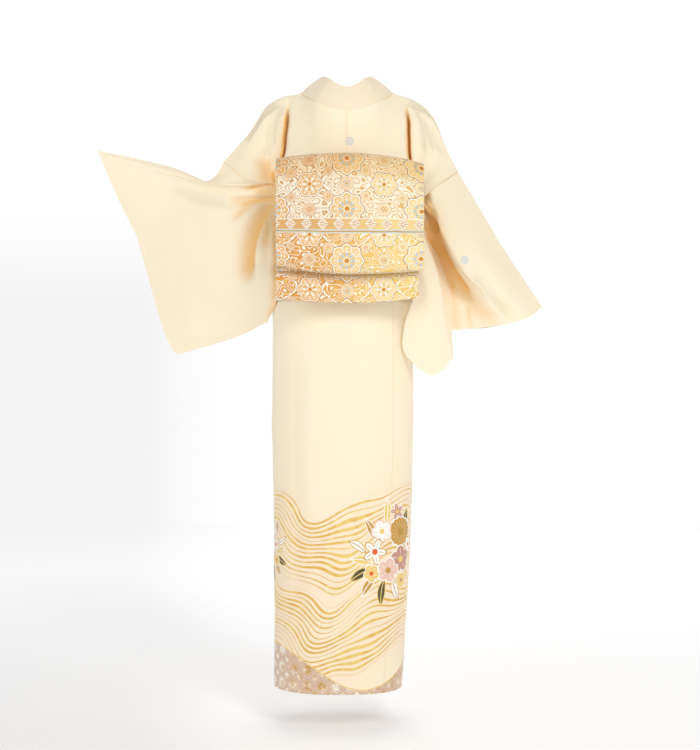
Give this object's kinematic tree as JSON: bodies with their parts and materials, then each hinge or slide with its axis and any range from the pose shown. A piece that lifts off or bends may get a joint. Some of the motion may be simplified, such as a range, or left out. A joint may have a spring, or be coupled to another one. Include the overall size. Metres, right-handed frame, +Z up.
{
  "type": "irotomesode",
  "caption": "Formal silk kimono in its worn shape, long sleeves spread, with a brocade belt tied in a square drum at the back.",
  "frame": {"origin": "midway between the wearer's shoulders, at the height of the shoulder line, inside the neck opening", "axes": "+Z up, +Y the way the wearer faces, +X towards the wearer's right"},
  "size_m": [0.9776, 0.35, 1.303],
  "materials": {
    "silk_body_left": "cream silk crepe, soft satin sheen, painted and gilded near the hem",
    "silk_body_right": "cream silk crepe, soft satin sheen, painted and gilded near the hem",
    "silk_overlap_left": "cream silk crepe, soft satin sheen, painted and gilded near the hem",
    "silk_overlap_right": "cream silk crepe, soft satin sheen, painted and gilded near the hem",
    "silk_collar": "cream silk crepe, soft satin sheen, painted and gilded near the hem",
    "silk_sleeve_left": "cream silk crepe, soft satin sheen, painted and gilded near the hem",
    "silk_sleeve_right": "cream silk crepe, soft satin sheen, painted and gilded near the hem",
    "silk_fold": "cream silk crepe, soft satin sheen, painted and gilded near the hem",
    "brocade_wrap": "woven gold brocade, soft metallic sheen",
    "brocade_drum": "woven gold brocade, soft metallic sheen",
    "brocade_tail": "woven gold brocade, soft metallic sheen",
    "brocade_hand": "woven gold brocade, soft metallic sheen"
  },
  "bodies": {
    "root": {"body_left": "silk_body_left", "body_right": "silk_body_right", "overlap_left": "silk_overlap_left", "overlap_right": "silk_overlap_right", "collar": "silk_collar", "sleeve_left": "silk_sleeve_left", "sleeve_right": "silk_sleeve_right", "waist_fold": "silk_fold", "obi_wrap": "brocade_wrap", "obi_drum": "brocade_drum", "obi_tail": "brocade_tail", "obi_hand": "brocade_hand"}
  },
  "joints": []
}
